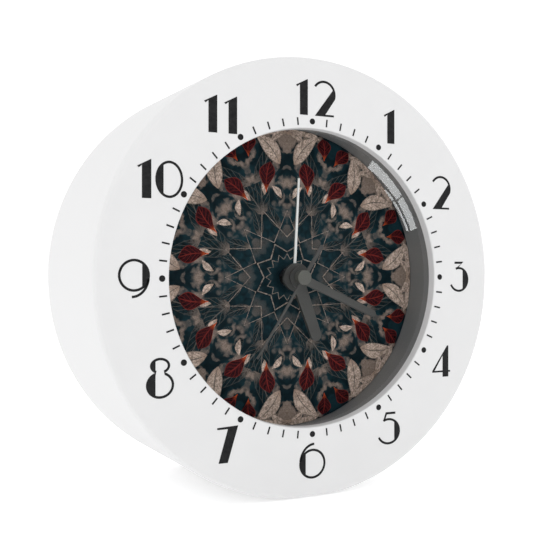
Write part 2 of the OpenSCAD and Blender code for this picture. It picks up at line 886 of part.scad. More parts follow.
front_housing();
lens();
dial_cup();
dial_card();
foot_strips();
dial_cup_screws();
back_cover();
back_cover_screws();
battery_door();
movement_front_case();
movement_rear_case();
movement_case_screws();
movement_lug_screws();
train_bridge();
alarm_drag_washer();
stator();
coil_core();
coil_bobbin();
coil_winding();
circuit_board();
chip_cover();
quartz_crystal();
alarm_contact_spring();
battery();
battery_contact_plus();
battery_contact_minus();
buzzer_case();
buzzer_disc();
alarm_switch_body();
alarm_switch_slider();
second_wheel();
second_hand();
second_hand_cap();
third_wheel();
centre_wheel();
step_wheel();
rotor_pinion();
rotor_magnet();
minute_pipe();
minute_hand();
hour_wheel();
hour_hand();
motion_wheel();
time_set_knob();
alarm_wheel();
alarm_hand();
alarm_set_gear();
alarm_set_knob();
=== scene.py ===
"""Looks for a round white desk alarm clock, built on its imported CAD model.

Adds the printed numerals, marks and dial pattern and the clear lens, gives every
part its surface, and lights the clock on a white table.
Lengths in the tables are millimetres: right and up from the dial's centre, and
depth behind the face. Angles are degrees clockwise from twelve.
"""

import json
import math

import bpy
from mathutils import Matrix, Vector


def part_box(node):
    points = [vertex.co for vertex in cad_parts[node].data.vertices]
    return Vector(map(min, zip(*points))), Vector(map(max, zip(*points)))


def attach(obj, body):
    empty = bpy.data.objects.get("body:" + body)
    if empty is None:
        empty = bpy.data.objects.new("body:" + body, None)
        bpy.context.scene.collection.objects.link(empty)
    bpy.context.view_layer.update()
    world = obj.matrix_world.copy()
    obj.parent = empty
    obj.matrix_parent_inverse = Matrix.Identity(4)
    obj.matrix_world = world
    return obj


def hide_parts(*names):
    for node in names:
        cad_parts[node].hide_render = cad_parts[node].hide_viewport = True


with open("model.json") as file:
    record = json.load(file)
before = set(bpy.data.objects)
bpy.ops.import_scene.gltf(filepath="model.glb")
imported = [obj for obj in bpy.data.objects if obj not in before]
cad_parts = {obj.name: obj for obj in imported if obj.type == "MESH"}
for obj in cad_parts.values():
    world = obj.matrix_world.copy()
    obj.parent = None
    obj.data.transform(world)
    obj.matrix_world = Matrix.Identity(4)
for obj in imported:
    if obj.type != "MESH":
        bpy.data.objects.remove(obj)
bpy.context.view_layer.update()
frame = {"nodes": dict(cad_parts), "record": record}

MM = 0.001
NODES = frame["nodes"]
SLOT_OF = {part["node"]: part["material_slot"] for part in frame["record"]["subparts"]}

# How far the back rim stands outside the face's circle
FLARE = 1.6

# Places read from the frame
housing_low, housing_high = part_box("front_housing")
lens_low, lens_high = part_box("lens")
card_low, card_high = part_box("dial_card")
battery_low, battery_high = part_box("battery")
FACE_Y = housing_low.y
CENTRE_UP = (lens_low.z + lens_high.z) / 2
FACE_R = (housing_high.z - CENTRE_UP) / MM - FLARE
LENS_R = (lens_high.x - lens_low.x) / 2 / MM
CARD_R = (card_high.x - card_low.x) / 2 / MM
LENS_DEPTH = (lens_low.y - FACE_Y) / MM
LENS_T = (lens_high.y - lens_low.y) / MM
CARD_DEPTH = (card_low.y - FACE_Y) / MM

# Camera, from the face's centre in face radii and degrees
CAMERA_RADII = Vector((-1.7246, -3.1992, 0.0437))
CAMERA_YAW = 25.044
CAMERA_PITCH = 0.113
CAMERA_LENS = 54.03

# Strengths of the white surroundings, the table's own glow and the window panes
SKY_STRENGTH = 1.1
TABLE_GLOW = 0.3
WINDOW_STRENGTH = 7.5

# Share of light that the lens mirrors, and its largest roughness
LENS_MIRROR = 0.06
LENS_HAZE = 0.02

# Distance between the coil's turns
WIRE_PITCH = 0.3

# Battery jacket: shares of its length for the plus band, the bare end and a soft edge
BAND_SHARE = 0.3
END_SHARE = 0.04
EDGE_SHARE = 0.005

# Print on the face: its thickness, how far it reaches into the plastic, and its circles
INK_T = 0.04
SINK = 0.02
NUMERAL_R = 45.6
DOT_R = 39.0
DOT_SIZE = 0.75
TICK_INNER = 38.05
TICK_OUTER = 39.95
TICK_W = 0.4
INK_SHEEN = 0.15

# Figures: width of a thin stroke, and points round a full oval and round a dot
THIN = 0.58
OVAL_STEPS = 48
DOT_STEPS = 28

# Print on the dial, whose leaves are drawn for a dial of radius DRAWN_R
FOLDS = 8
PRINT_LAYER = 0.012
PRINT_SHEEN = 0.08
DRAWN_R = 37.55
DIAL_PRINT_R = CARD_R - 0.05
DIAL_SCALE = CARD_R / DRAWN_R

# Leaves: how far the stalk's colour reaches, how much the branches of the rib slant,
# and how strongly the branches, and all the lines together, cover the body
STALK_REACH = 0.28
VEIN_SLANT = 0.3
BRANCH_SHARE = 0.7
VEIN_SHARE = 0.8

# Part of its range that a noise keeps to almost everywhere
NOISE_SPAN = (0.3, 0.7)
# How many times coarser than its grain the mottling of a plain surface is
MOTTLE_SIZE = 14


def face_point(x, up, depth):
    """A point of the clock's frame from millimetres right, up and behind the face."""
    return Vector((x * MM, FACE_Y + depth * MM, CENTRE_UP + up * MM))


def polar(radius, angle):
    """Millimetres right and up of a point on a circle round the dial's centre."""
    turn = math.radians(angle)
    return Vector((radius * math.sin(turn), radius * math.cos(turn)))


def steps(first, last, count):
    """count + 1 evenly spaced numbers from first to last."""
    return [first + (last - first) * i / count for i in range(count + 1)]


class Solid:
    """Vertices and faces collected for one mesh, with a place on the leaf per vertex."""

    def __init__(self):
        self.vertices = []
        self.faces = []
        self.places = []

    def add(self, vertices, faces, places=None):
        """Takes in vertices with their faces, numbered from zero."""
        start = len(self.vertices)
        self.vertices += vertices
        self.places += places or [(0.0, 0.0)] * len(vertices)
        self.faces += [[start + i for i in face] for face in faces]

    def prism(self, outline, near, far):
        """A flat shape from its outline, anticlockwise as seen from the front."""
        count = len(outline)
        vertices = [face_point(x, up, near) for x, up in outline]
        vertices += [face_point(x, up, far) for x, up in outline]
        faces = [list(range(count)), list(range(2 * count - 1, count - 1, -1))]
        for i in range(count):
            after = (i + 1) % count
            faces.append([i, i + count, after + count, after])
        self.add(vertices, faces)

    def ribbon(self, outer, inner, near, far, closed):
        """A flat band between two lines of equally many points."""
        count = len(outer)
        pairs = list(zip(outer, inner))
        vertices = []
        for depth in (near, far):
            for pair in pairs:
                vertices += [face_point(x, up, depth) for x, up in pair]
        back = 2 * count
        faces = []
        for i in range(count if closed else count - 1):
            a, b = 2 * i, 2 * ((i + 1) % count)
            faces.append([a, a + 1, b + 1, b])
            faces.append([back + b, back + b + 1, back + a + 1, back + a])
            faces.append([b, back + b, back + a, a])
            faces.append([a + 1, back + a + 1, back + b + 1, b + 1])
        if not closed:
            last = 2 * count - 2
            faces.append([0, back, back + 1, 1])
            faces.append([last + 1, back + last + 1, back + last, last])
        self.add(vertices, faces)

    def piece(self, name, material):
        """The finished mesh object, riding on the clock's fixed body."""
        mesh = bpy.data.meshes.new(name)
        mesh.from_pydata(self.vertices, [], self.faces)
        places = mesh.uv_layers.new(name="place")
        for loop in mesh.loops:
            places.data[loop.index].uv = self.places[loop.vertex_index]
        mesh.materials.append(material)
        made = bpy.data.objects.new(name, mesh)
        bpy.context.scene.collection.objects.link(made)
        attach(made, "clock")
        return made


# ---------------------------------------------------------------- surfaces


class Look:
    """A procedural material under construction."""

    def __init__(self, name, roughness=0.5, metallic=0.0):
        self.material = bpy.data.materials.new(name)
        self.material.use_nodes = True
        self.tree = self.material.node_tree
        self.shader = self.tree.nodes["Principled BSDF"]
        self.shader.inputs["Roughness"].default_value = roughness
        self.shader.inputs["Metallic"].default_value = metallic
        self.place = self.node("TexCoord").outputs["Object"]

    def node(self, kind, inputs=None, **settings):
        """A new shader node with its inputs linked or set."""
        made = self.tree.nodes.new("ShaderNode" + kind)
        for name, value in settings.items():
            setattr(made, name, value)
        for name, value in (inputs or {}).items():
            self.put(made.inputs[name], value)
        return made

    def put(self, socket, value):
        """Links another node's output to a socket, or sets a plain value on it."""
        if isinstance(value, bpy.types.NodeSocket):
            self.tree.links.new(value, socket)
        else:
            socket.default_value = value

    def noise(self, scale, detail=3.0, rough=0.55, place=None, warp=0.0):
        """A noise of so many waves to the metre."""
        made = self.node(
            "TexNoise",
            {
                "Vector": place or self.place,
                "Scale": scale,
                "Detail": detail,
                "Roughness": rough,
                "Distortion": warp,
            },
        )
        return made.outputs["Fac"]

    def math(self, operation, first, second=None, clamp=False):
        """The result of one sum, product or function."""
        made = self.node("Math", operation=operation, use_clamp=clamp)
        self.put(made.inputs[0], first)
        if second is not None:
            self.put(made.inputs[1], second)
        return made.outputs[0]

    def rescale(self, value, low, high, to_low=0.0, to_high=1.0):
        """A value stretched from one range to another and held at the ends."""
        made = self.node(
            "MapRange",
            {
                "Value": value,
                "From Min": low,
                "From Max": high,
                "To Min": to_low,
                "To Max": to_high,
            },
        )
        return made.outputs["Result"]

    def blend(self, value, first, second, span=NOISE_SPAN):
        """A colour between two, following a noise or other value over a span of it."""
        made = self.node("ValToRGB", {"Fac": value})
        for element, place, colour in zip(made.color_ramp.elements, span, (first, second)):
            element.position = place
            element.color = (*colour, 1.0)
        return made.outputs["Color"]

    def mix(self, share, first, second):
        """The first colour, with a share of the second over it."""
        made = self.node("Mix", data_type="RGBA")
        self.put(made.inputs["Factor"], share)
        for socket, value in ((made.inputs[6], first), (made.inputs[7], second)):
            self.put(socket, (*value, 1.0) if isinstance(value, tuple) else value)
        return made.outputs[2]

    def split(self, vector):
        """The X, Y and Z of a vector."""
        return self.node("SeparateXYZ", {"Vector": vector}).outputs

    def paint(self, colour):
        """Gives the surface its colour."""
        self.put(self.shader.inputs["Base Color"], colour)

    def sheen(self, level):
        """How much a surface mirrors at right angles; 0.5 is bare plastic, less is matt print."""
        self.shader.inputs["Specular IOR Level"].default_value = level

    def roughen(self, value, low, high):
        """Lets the roughness follow a noise."""
        spread = self.rescale(value, *NOISE_SPAN, low, high)
        self.put(self.shader.inputs["Roughness"], spread)

    def bump(self, height, depth_mm):
        """Raises the surface by a noise of this depth."""
        made = self.node("Bump", {"Height": height, "Distance": depth_mm * MM, "Strength": 1.0})
        self.put(self.shader.inputs["Normal"], made.outputs["Normal"])


def grained(name, colour, grain, depth_mm, roughness, spread, shade, metallic):
    """A moulded, painted or cast surface: fine grain, faint mottling, uneven gloss."""
    look = Look(name, roughness, metallic)
    fine = look.noise(grain, detail=4.0)
    broad = look.noise(grain / MOTTLE_SIZE)
    darker = tuple(channel * shade for channel in colour)
    look.paint(look.mix(look.rescale(broad, *NOISE_SPAN), darker, colour))
    look.roughen(broad, roughness - spread, roughness + spread)
    look.bump(fine, depth_mm)
    return look.material


def brushed(name, colour, roughness, stretch):
    """Rolled or turned metal with fine lines along one direction."""
    shade = 0.75
    look = Look(name, roughness, 1.0)
    mapping = look.node("Mapping", {"Vector": look.place, "Scale": stretch})
    lines = look.noise(900.0, detail=5.0, rough=0.65, place=mapping.outputs["Vector"])
    darker = tuple(channel * shade for channel in colour)
    look.paint(look.mix(look.rescale(lines, *NOISE_SPAN), darker, colour))
    look.roughen(lines, roughness - 0.1, roughness + 0.12)
    look.bump(lines, 0.01)
    return look.material


def card_look():
    """Dark card whose blurred pattern is mirrored into equal wedges round the centre."""
    look = Look("printed_card", 0.62)
    look.sheen(PRINT_SHEEN)
    centred = look.node(
        "VectorMath",
        {0: look.place, 1: (0.0, card_low.y, CENTRE_UP)},
        operation="SUBTRACT",
    )
    across = look.split(centred.outputs[0])
    radius = look.node("VectorMath", {0: centred.outputs[0]}, operation="LENGTH")
    radius = radius.outputs["Value"]
    turn = look.math("ARCTAN2", across["X"], across["Z"])
    wedge = look.math("PINGPONG", turn, math.pi / FOLDS)
    folded = look.node(
        "CombineXYZ",
        {
            "X": look.math("MULTIPLY", radius, look.math("COSINE", wedge)),
            "Y": look.math("MULTIPLY", radius, look.math("SINE", wedge)),
        },
    ).outputs["Vector"]
    cloud = look.noise(330.0, detail=2.0, rough=0.45, place=folded, warp=0.6)
    petals = look.noise(150.0, detail=1.0, rough=0.4, place=folded, warp=1.2)
    fibre = look.noise(2600.0, rough=0.6, place=folded)
    teal = look.blend(cloud, (0.003, 0.012, 0.017), (0.008, 0.032, 0.042), span=(0.36, 0.62))
    taupe = look.blend(fibre, (0.15, 0.112, 0.094), (0.34, 0.26, 0.215))
    patch = look.math("MULTIPLY", cloud, petals)
    shown = look.rescale(patch, 0.25, 0.36)
    centre_fade = look.rescale(radius, 9 * MM, 26 * MM, 0.12, 1.0)
    look.paint(look.mix(look.math("MULTIPLY", shown, centre_fade, clamp=True), teal, taupe))
    look.roughen(fibre, 0.55, 0.7)
    look.bump(fibre, 0.004)
    return look.material


def leaf_look(name, dark, light, base, vein, veins, edge):
    """A printed leaf with a rib, branches from it and a lined rim.

    Its place runs from 0 at the stalk to 1 at the tip, and across from -1 to 1. The body
    goes from dark to light in patches, and the base colour shows near the stalk.
    """
    look = Look(name, 0.6)
    look.sheen(PRINT_SHEEN)
    place = look.split(look.node("UVMap", uv_map="place").outputs["UV"])
    along = place["X"]
    side = look.math("ABSOLUTE", place["Y"])
    mottle = look.noise(1500.0, detail=4.0, rough=0.65, warp=0.8)
    body = look.blend(mottle, dark, light, span=(0.40, 0.62))
    near_stalk = look.rescale(along, STALK_REACH, 0.0)
    patchy = look.rescale(mottle, 0.3, 0.5)
    body = look.mix(look.math("MULTIPLY", near_stalk, patchy, clamp=True), body, base)
    slant = look.math("SUBTRACT", along, look.math("MULTIPLY", side, VEIN_SLANT))
    wave = look.math("SINE", look.math("MULTIPLY", slant, veins * 2 * math.pi))
    branches = look.math("MULTIPLY", look.rescale(wave, 0.86, 0.99), BRANCH_SHARE)
    rib = look.rescale(side, 0.10, 0.02)
    rim = look.rescale(side, 0.86, 0.97, 0.0, edge)
    lines = look.math("MAXIMUM", look.math("MAXIMUM", rib, branches), rim)
    look.paint(look.mix(look.math("MULTIPLY", lines, VEIN_SHARE, clamp=True), body, vein))
    look.roughen(mottle, 0.52, 0.66)
    return look.material


def line_look():
    """Taupe lines of the star, broken and uneven as if drawn dry."""
    look = Look("printed_lines", 0.6)
    look.sheen(PRINT_SHEEN)
    dry = look.noise(1800.0, detail=4.0, rough=0.7)
    look.paint(look.blend(dry, (0.05, 0.05, 0.05), (0.42, 0.34, 0.285), span=(0.35, 0.62)))
    look.roughen(dry, 0.52, 0.68)
    return look.material


def ink_look():
    """Near black ink, slightly uneven in gloss and density."""
    look = Look("face_ink", 0.5)
    look.sheen(INK_SHEEN)
    dense = look.noise(1400.0, detail=4.0, rough=0.6)
    look.paint(look.blend(dense, (0.009, 0.009, 0.010), (0.021, 0.021, 0.022)))
    look.roughen(dense, 0.42, 0.58)
    return look.material


def lens_looks():
    """The lens's front face, which mirrors a little, and the rest, which lets light by."""
    made = []
    for name, mirrored in (("lens_front", LENS_MIRROR), ("lens_rest", 0.0)):
        look = Look(name)
        tree = look.tree
        tree.nodes.remove(look.shader)
        smear = look.noise(60.0, detail=2.0)
        clear = look.node("BsdfTransparent")
        tint = look.blend(smear, (0.985, 0.99, 0.99), (0.995, 1.0, 1.0))
        look.put(clear.inputs["Color"], tint)
        shown = clear.outputs[0]
        if mirrored:
            mirror = look.node("BsdfGlossy")
            haze = look.rescale(smear, *NOISE_SPAN, 0.0, LENS_HAZE)
            look.put(mirror.inputs["Roughness"], haze)
            mixed = look.node("MixShader", {"Fac": mirrored})
            look.put(mixed.inputs[1], shown)
            look.put(mixed.inputs[2], mirror.outputs[0])
            shown = mixed.outputs[0]
        look.put(tree.nodes["Material Output"].inputs["Surface"], shown)
        made.append(look.material)
    return made


def winding_look():
    """Enamelled wire laid side by side round the coil."""
    look = Look("wound_wire", 0.3, 1.0)
    band_at_scale_one = math.pi / 10
    scale = band_at_scale_one / (WIRE_PITCH * MM)
    turns = look.node(
        "TexWave",
        {"Vector": look.place, "Scale": scale, "Distortion": 0.3},
        bands_direction="X",
    ).outputs["Fac"]
    sheen = look.noise(700.0)
    look.paint(look.blend(turns, (0.16, 0.045, 0.02), (0.62, 0.25, 0.12), span=(0.2, 0.8)))
    look.roughen(sheen, 0.22, 0.4)
    look.bump(turns, 0.05)
    return look.material


def board_look():
    """Green solder mask with copper tracks showing through."""
    look = Look("solder_mask", 0.3)
    cells = look.node(
        "TexVoronoi",
        {"Vector": look.place, "Scale": 420.0},
        feature="DISTANCE_TO_EDGE",
        distance="CHEBYCHEV",
    ).outputs["Distance"]
    grain = look.noise(2500.0)
    track = look.rescale(cells, 0.16, 0.12)
    mask = look.blend(grain, (0.006, 0.07, 0.03), (0.012, 0.11, 0.045))
    look.paint(look.mix(track, mask, (0.03, 0.24, 0.10)))
    look.roughen(grain, 0.22, 0.38)
    look.bump(track, 0.03)
    return look.material


def cell_look():
    """Printed battery jacket: a coppery band at the plus end, black on the rest."""
    look = Look("cell_print", 0.3, 0.4)
    along = look.split(look.place)["X"]
    grain = look.noise(1500.0)
    length = battery_high.x - battery_low.x

    def past(share):
        """Full from this share of the length to the plus end, with a soft edge before it."""
        start = battery_high.x - length * share
        return look.rescale(along, start - length * EDGE_SHARE, start)

    jacket = look.blend(grain, (0.012, 0.012, 0.013), (0.022, 0.022, 0.023))
    copper = look.blend(grain, (0.42, 0.19, 0.07), (0.56, 0.27, 0.10))
    steel = look.blend(grain, (0.45, 0.45, 0.46), (0.62, 0.62, 0.63))
    printed = look.mix(past(BAND_SHARE), jacket, copper)
    look.paint(look.mix(past(END_SHARE), printed, steel))
    look.roughen(grain, 0.24, 0.36)
    look.bump(grain, 0.004)
    return look.material


def wall_look():
    """Dark satin plastic with the faint rings left by turning the mould."""
    look = Look("dial_wall", 0.42)
    depth = look.split(look.place)["Y"]
    depth_only = look.node("CombineXYZ", {"Y": depth}).outputs["Vector"]
    rings = look.noise(60.0, detail=2.0, rough=0.5, place=depth_only)
    fine = look.noise(2400.0, detail=4.0)
    tone = look.math("MULTIPLY", look.math("ADD", rings, fine), 0.5)
    look.paint(look.blend(tone, (0.175, 0.176, 0.176), (0.21, 0.211, 0.211), span=(0.35, 0.65)))
    look.roughen(fine, 0.36, 0.5)
    look.bump(fine, 0.008)
    return look.material


def floor_look():
    """White light table with a barely uneven surface."""
    look = Look("white_table", 0.75)
    cloud = look.noise(6.0)
    look.paint(look.blend(cloud, (0.905, 0.905, 0.905), (0.93, 0.93, 0.93)))
    look.roughen(cloud, 0.7, 0.85)
    look.shader.inputs["Emission Color"].default_value = (1, 1, 1, 1)
    look.shader.inputs["Emission Strength"].default_value = TABLE_GLOW
    return look.material


def glow_look(name, colour, strength):
    """A lamp surface, slightly uneven as a diffuser is."""
    look = Look(name)
    tree = look.tree
    tree.nodes.remove(look.shader)
    cloud = look.noise(12.0, detail=2.0)
    glow = look.node("Emission", {"Strength": strength})
    dimmer = tuple(channel * 0.94 for channel in colour)
    look.put(glow.inputs["Color"], look.mix(cloud, dimmer, colour))
    look.put(tree.nodes["Material Output"].inputs["Surface"], glow.outputs[0])
    return look.material


# Moulded, painted or cast surfaces: colour, grain in waves to the metre and its depth,
# roughness and how far it varies, shade of the mottling, and metallic share
GRAINED = {
    "white_housing": ((0.70, 0.70, 0.703), 1800.0, 0.006, 0.5, 0.05, 0.985, 0.0),
    "white_back": ((0.68, 0.68, 0.682), 1500.0, 0.02, 0.58, 0.05, 0.97, 0.0),
    "foot_rubber": ((0.022, 0.022, 0.022), 2200.0, 0.03, 0.85, 0.05, 0.8, 0.0),
    "movement_plastic": ((0.50, 0.47, 0.38), 1600.0, 0.015, 0.55, 0.06, 0.94, 0.0),
    "gear_plastic": ((0.66, 0.65, 0.59), 2000.0, 0.006, 0.4, 0.06, 0.94, 0.0),
    "magnet_dark": ((0.06, 0.06, 0.065), 2600.0, 0.02, 0.5, 0.1, 0.7, 0.5),
    "black_plastic": ((0.018, 0.018, 0.019), 1900.0, 0.012, 0.5, 0.06, 0.75, 0.0),
    "grey_controls": ((0.28, 0.28, 0.285), 1800.0, 0.012, 0.5, 0.06, 0.9, 0.0),
    "dark_hands": ((0.068, 0.067, 0.064), 2600.0, 0.006, 0.5, 0.08, 0.85, 0.0),
    "white_hand": ((0.80, 0.80, 0.78), 2600.0, 0.004, 0.45, 0.06, 0.94, 0.0),
    "hand_cap": ((0.112, 0.112, 0.100), 2600.0, 0.006, 0.45, 0.08, 0.9, 0.0),
}
# Rolled or turned metals: colour, roughness, and how fine the lines are along each axis
BRUSHED = {
    "steel_screws": ((0.62, 0.62, 0.63), 0.34, (3.0, 0.4, 3.0)),
    "brass_parts": ((0.72, 0.50, 0.20), 0.32, (4.0, 1.0, 0.3)),
    "motor_iron": ((0.34, 0.34, 0.35), 0.45, (0.5, 1.0, 4.0)),
    "contact_metal": ((0.72, 0.72, 0.70), 0.24, (1.0, 1.0, 0.3)),
}
# Nodes with another surface than their slot's
OWN_SURFACE = {"second_hand_cap": "hand_cap"}


def dress_nodes():
    """Puts a surface on every CAD node."""
    looks = {
        "dark_dial_wall": wall_look(),
        "printed_dial": card_look(),
        "copper_wire": winding_look(),
        "board_green": board_look(),
        "cell_jacket": cell_look(),
        "clear_lens": lens_looks()[1],
    }
    looks.update({name: grained(name, *settings) for name, settings in GRAINED.items()})
    looks.update({name: brushed(name, *settings) for name, settings in BRUSHED.items()})
    for node, part in NODES.items():
        part.data.materials.clear()
        part.data.materials.append(looks[OWN_SURFACE.get(node, SLOT_OF[node])])


# ---------------------------------------------------------------- print on the face


def oval(centre, size, first, last, count, trim=0.0):
    """Points of an ellipse between two angles measured anticlockwise from the right."""
    wide, high = size[0] - trim, size[1] - trim
    turns = [math.radians(angle) for angle in steps(first, last, count)]
    return [(centre[0] + wide * math.cos(a), centre[1] + high * math.sin(a)) for a in turns]


class Numeral:
    """One figure, drawn from its lower left corner and then moved to its place."""

    def __init__(self, solid, centre, size, flipped=False):
        self.solid = solid
        self.centre = centre
        self.size = size
        self.sign = -1 if flipped else 1

    def moved(self, points):
        """The points in the face's millimetres, turned by half a turn when flipped."""
        return [
            (
                self.centre[0] + self.sign * (x - self.size[0] / 2),
                self.centre[1] + self.sign * (up - self.size[1] / 2),
            )
            for x, up in points
        ]

    def shape(self, outline):
        """A filled part of the figure."""
        self.solid.prism(self.moved(outline), -INK_T, SINK)

    def band(self, outer, inner, closed=False):
        """A curved stroke between two lines."""
        self.solid.ribbon(self.moved(outer), self.moved(inner), -INK_T, SINK, closed)


def draw_zero(solid, centre):
    high = 8.6
    figure = Numeral(solid, centre, (6.7, high))
    middle, size, stem = (3.35, high / 2), (3.35, high / 2), 1.95
    outer = oval(middle, size, 0, 360, OVAL_STEPS)[:-1]
    inner = [(max(x, stem), up) for x, up in oval(middle, size, 0, 360, OVAL_STEPS, THIN)[:-1]]
    figure.band(outer, inner, closed=True)


def draw_one(solid, centre):
    high = 9.0
    figure = Numeral(solid, centre, (3.4, high))
    figure.shape(
        [(1.1, 0), (3.3, 0), (3.3, high), (0, high - 1.7), (0.35, high - 2.1), (1.1, high - 1.5)]
    )


def draw_two(solid, centre):
    high = 9.0
    figure = Numeral(solid, centre, (6.3, high))
    middle, size, joint = (2.95, high - 3.45), (3.35, 3.45), 24
    figure.band(oval(middle, size, 145, joint, 20), oval(middle, size, 145, joint, 20, THIN))
    fold = oval(middle, size, joint, joint, 1, THIN)[0]
    swell = oval(middle, size, -18, joint, 8)
    figure.shape([(0.35, 0), (5.8, 0), (5.8, 0.48), (3.35, 0.48), *swell, fold])


def draw_three(solid, centre):
    high = 8.3
    figure = Numeral(solid, centre, (6.15, high))
    middle, size, stem = (2.9, high - 4.85), (3.25, 3.4), 4.2
    inner = oval(middle, size, 110, -153, 40, THIN)
    figure.band(oval(middle, size, 110, -153, 40), [(min(x, stem), up) for x, up in inner])
    low = high - THIN
    joint = [(2.0, high - 1.7), (2.5, high - 1.75)]
    figure.shape([(1.45, low), (3.75, low), *joint, (4.45, high), (1.45, high)])


def draw_four(solid, centre):
    high = 8.4
    figure = Numeral(solid, centre, (5.9, high))
    stem, edge, bar, top = 3.4, 5.3, 1.25, 1.7
    crossing = top + (high - top) * stem / 4.9
    figure.shape([(stem, 0), (edge, 0), (edge, high), (4.9, high), (stem, crossing)])
    figure.shape([(0, top), (0.75, top), (stem, 5.8), (stem, crossing)])
    figure.shape([(0, bar), (stem, bar), (stem, top), (0, top)])
    figure.shape([(edge, bar), (5.9, bar), (5.9, top), (edge, top)])


def draw_five(solid, centre):
    high = 8.5
    figure = Numeral(solid, centre, (6.64, high))
    middle, size, stem = (3.04, high - 5), (3.6, 3.44), 4.86
    inner = oval(middle, size, 118, -153, 40, THIN)
    figure.band(oval(middle, size, 118, -153, 40), [(min(x, stem), up) for x, up in inner])
    low = high - THIN
    foot = high - 2.15
    figure.shape([(1.45, foot), (1.95, foot), (2.55, low), (5.2, low), (5.2, high), (2.2, high)])


def draw_seven(solid, centre):
    high = 8.7
    figure = Numeral(solid, centre, (5.4, high))
    low = high - 0.7
    figure.shape([(0.35, 0), (2.7, 0), (5.4, high), (0.05, high - 0.25), (0, low), (2.75, low)])


def draw_eight(solid, centre):
    figure = Numeral(solid, centre, (6.7, 9.3))
    lower, lower_size, upper, upper_size = (3.35, 3.05), (3.35, 3.08), (3.35, 7.5), (2.4, 1.85)
    waist, neck, stem = 67, -61, 2.25

    def outline(trim):
        rim = oval(upper, upper_size, neck, 180 - neck, 36, trim)
        return rim + oval(lower, lower_size, 180 - waist, 360 + waist, 40, trim)

    figure.band(outline(0), [(max(x, stem), up) for x, up in outline(THIN)], closed=True)


def draw_nine(solid, centre, flipped=False):
    high = 9.0
    figure = Numeral(solid, centre, (7.4, high), flipped)
    middle, size, stem = (3.7, high - 3.72), (3.7, 3.72), 5.6
    outer = oval(middle, size, 0, 360, OVAL_STEPS)[:-1]
    inner = [(min(x, stem), up) for x, up in oval(middle, size, 0, 360, OVAL_STEPS, THIN)[:-1]]
    figure.band(outer, inner, closed=True)
    tail, tail_size = (3.2, high - 3.9), (4.2, 5.0)
    figure.band(oval(tail, tail_size, -8, -90, 18), oval(tail, tail_size, -8, -90, 18, THIN))


def draw_six(solid, centre):
    draw_nine(solid, centre, flipped=True)


SINGLE_FIGURES = {
    1: draw_one,
    2: draw_two,
    3: draw_three,
    4: draw_four,
    5: draw_five,
    6: draw_six,
    7: draw_seven,
    8: draw_eight,
    9: draw_nine,
}


def print_face():
    """Numerals, a dot at each hour and a tick at each other minute."""
    ink = ink_look()
    numerals = Solid()
    for hour, draw in SINGLE_FIGURES.items():
        draw(numerals, polar(NUMERAL_R, hour * 30))
    ten, eleven, twelve = (polar(NUMERAL_R, hour * 30) for hour in (10, 11, 12))
    draw_one(numerals, ten - Vector((3.7, 0)))
    draw_zero(numerals, ten + Vector((2.2, 0)))
    draw_one(numerals, eleven - Vector((4.3, 0.6)))
    draw_one(numerals, eleven + Vector((0.8, -0.6)))
    draw_one(numerals, twelve + Vector((-2.9, -0.6)))
    draw_two(numerals, twelve + Vector((3.5, -0.6)))
    numerals.piece("hour_numerals", ink)
    dots = Solid()
    ticks = Solid()
    for minute in range(60):
        angle = minute * 6
        if minute % 5:
            side = polar(TICK_W / 2, angle + 90)
            near, far = polar(TICK_INNER, angle), polar(TICK_OUTER, angle)
            ticks.prism([near - side, near + side, far + side, far - side], -INK_T, SINK)
        else:
            centre = polar(DOT_R, angle)
            round_dot = oval(centre, (DOT_SIZE, DOT_SIZE), 0, 360, DOT_STEPS)[:-1]
            dots.prism(round_dot, -INK_T, SINK)
    dots.piece("hour_dots", ink)
    ticks.piece("minute_ticks", ink)


# ---------------------------------------------------------------- print on the dial


def leaf(solid, stalk, tip, half_width, bend, layer, swell):
    """A leaf as a thin closed plate from its stalk to its tip, each a radius and an angle.

    Below a swell of one it is widest towards the stalk, and above one towards the tip.
    """
    rows, columns = 14, 6
    end_half = 0.04
    start, end = polar(*stalk), polar(*tip)
    along = end - start
    across = Vector((along.y, -along.x)).normalized()
    near = CARD_DEPTH - PRINT_LAYER * layer
    far = CARD_DEPTH + PRINT_LAYER
    vertices, places = [], []
    for depth in (near, far):
        for u in steps(0.0, 1.0, rows):
            width = half_width * math.sin(math.pi * u**swell) + end_half
            for v in steps(-1.0, 1.0, columns):
                spot = start + along * u + across * (width * v + bend * math.sin(math.pi * u))
                spot *= DIAL_SCALE
                if spot.length > DIAL_PRINT_R:
                    spot = spot * (DIAL_PRINT_R / spot.length)
                vertices.append(face_point(spot.x, spot.y, depth))
                places.append((u, v))
    wide = columns + 1
    back = wide * (rows + 1)
    faces = []
    for row in range(rows):
        for column in range(columns):
            a = row * wide + column
            faces.append([a, a + 1, a + wide + 1, a + wide])
            faces.append([back + a, back + a + wide, back + a + wide + 1, back + a + 1])
    rim = list(range(wide))
    rim += [row * wide + columns for row in range(1, rows + 1)]
    rim += [rows * wide + column for column in range(columns - 1, -1, -1)]
    rim += [row * wide for row in range(rows - 1, 0, -1)]
    for i, a in enumerate(rim):
        b = rim[(i + 1) % len(rim)]
        faces.append([b, a, back + a, back + b])
    solid.add(vertices, faces, places)


def leaves(solid, stalk, tip, half_width, bend, layer, swell, turned=0.0):
    """The same leaf in every wedge of the dial, with its mirror image just over it."""
    for fold in range(FOLDS):
        middle = fold * 360 / FOLDS + turned
        for side in (-1, 1):
            leaf(
                solid,
                (stalk[0], middle + side * stalk[1]),
                (tip[0], middle + side * tip[1]),
                half_width=half_width,
                bend=side * bend,
                layer=layer + (side + 1) / 4,
                swell=swell,
            )


